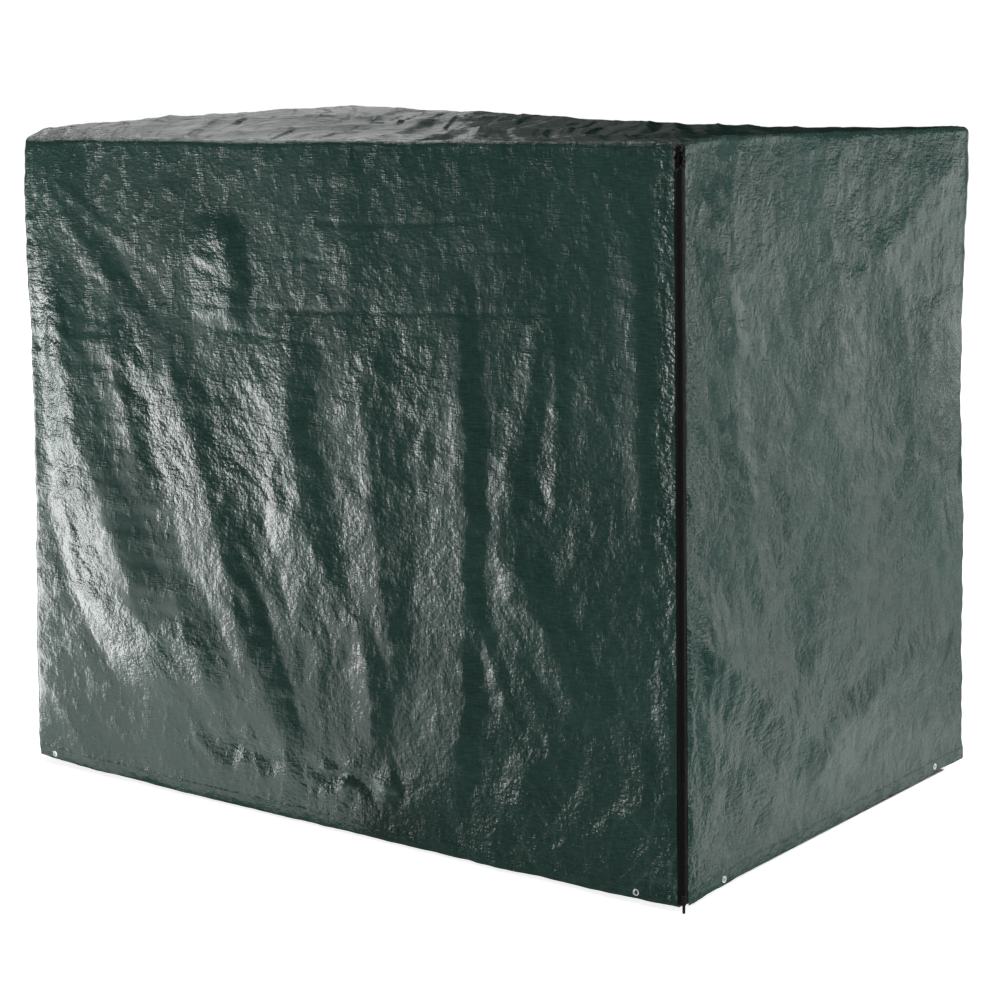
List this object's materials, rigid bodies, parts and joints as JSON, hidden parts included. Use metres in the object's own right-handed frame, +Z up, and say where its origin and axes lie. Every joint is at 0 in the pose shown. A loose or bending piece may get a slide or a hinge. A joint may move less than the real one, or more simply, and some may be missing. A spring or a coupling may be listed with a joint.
{
  "type": "fitted outdoor furniture cover",
  "caption": "Fitted box-shaped outdoor furniture cover of crinkled dark green woven sheet, with a black corner zip and eyelets along its hem, hollow and open below.",
  "frame": {"origin": "under the middle of the cover, at the height of its lowest point", "axes": "+Z up, -Y out of the long front panel, +X to the right along the front, so the zip stands at the +X, -Y corner"},
  "size_m": [2.0588, 1.3534, 1.6944],
  "materials": {
    "sheet": "glossy coated weave, crinkled",
    "zip_tape": "matt black woven tape with moulded teeth",
    "zip_metal": "black lacquered",
    "eyelets": "bright pressed"
  },
  "bodies": {
    "root": {"top_panel": "sheet", "front_panel": "sheet", "right_panel": "sheet", "back_panel": "sheet", "left_panel": "sheet", "hem_front": "sheet", "hem_right": "sheet", "hem_back": "sheet", "hem_left": "sheet", "eyelet_front_left": "eyelets", "eyelet_front_right": "eyelets", "eyelet_right_front": "eyelets", "eyelet_right_back": "eyelets", "eyelet_back_left": "eyelets", "eyelet_back_right": "eyelets", "eyelet_left_back": "eyelets", "eyelet_left_front": "eyelets", "zip_tape_front": "zip_tape", "zip_tape_right": "zip_tape", "zip_chain": "zip_tape", "zip_slider": "zip_metal", "zip_pull": "zip_metal"}
  },
  "joints": []
}
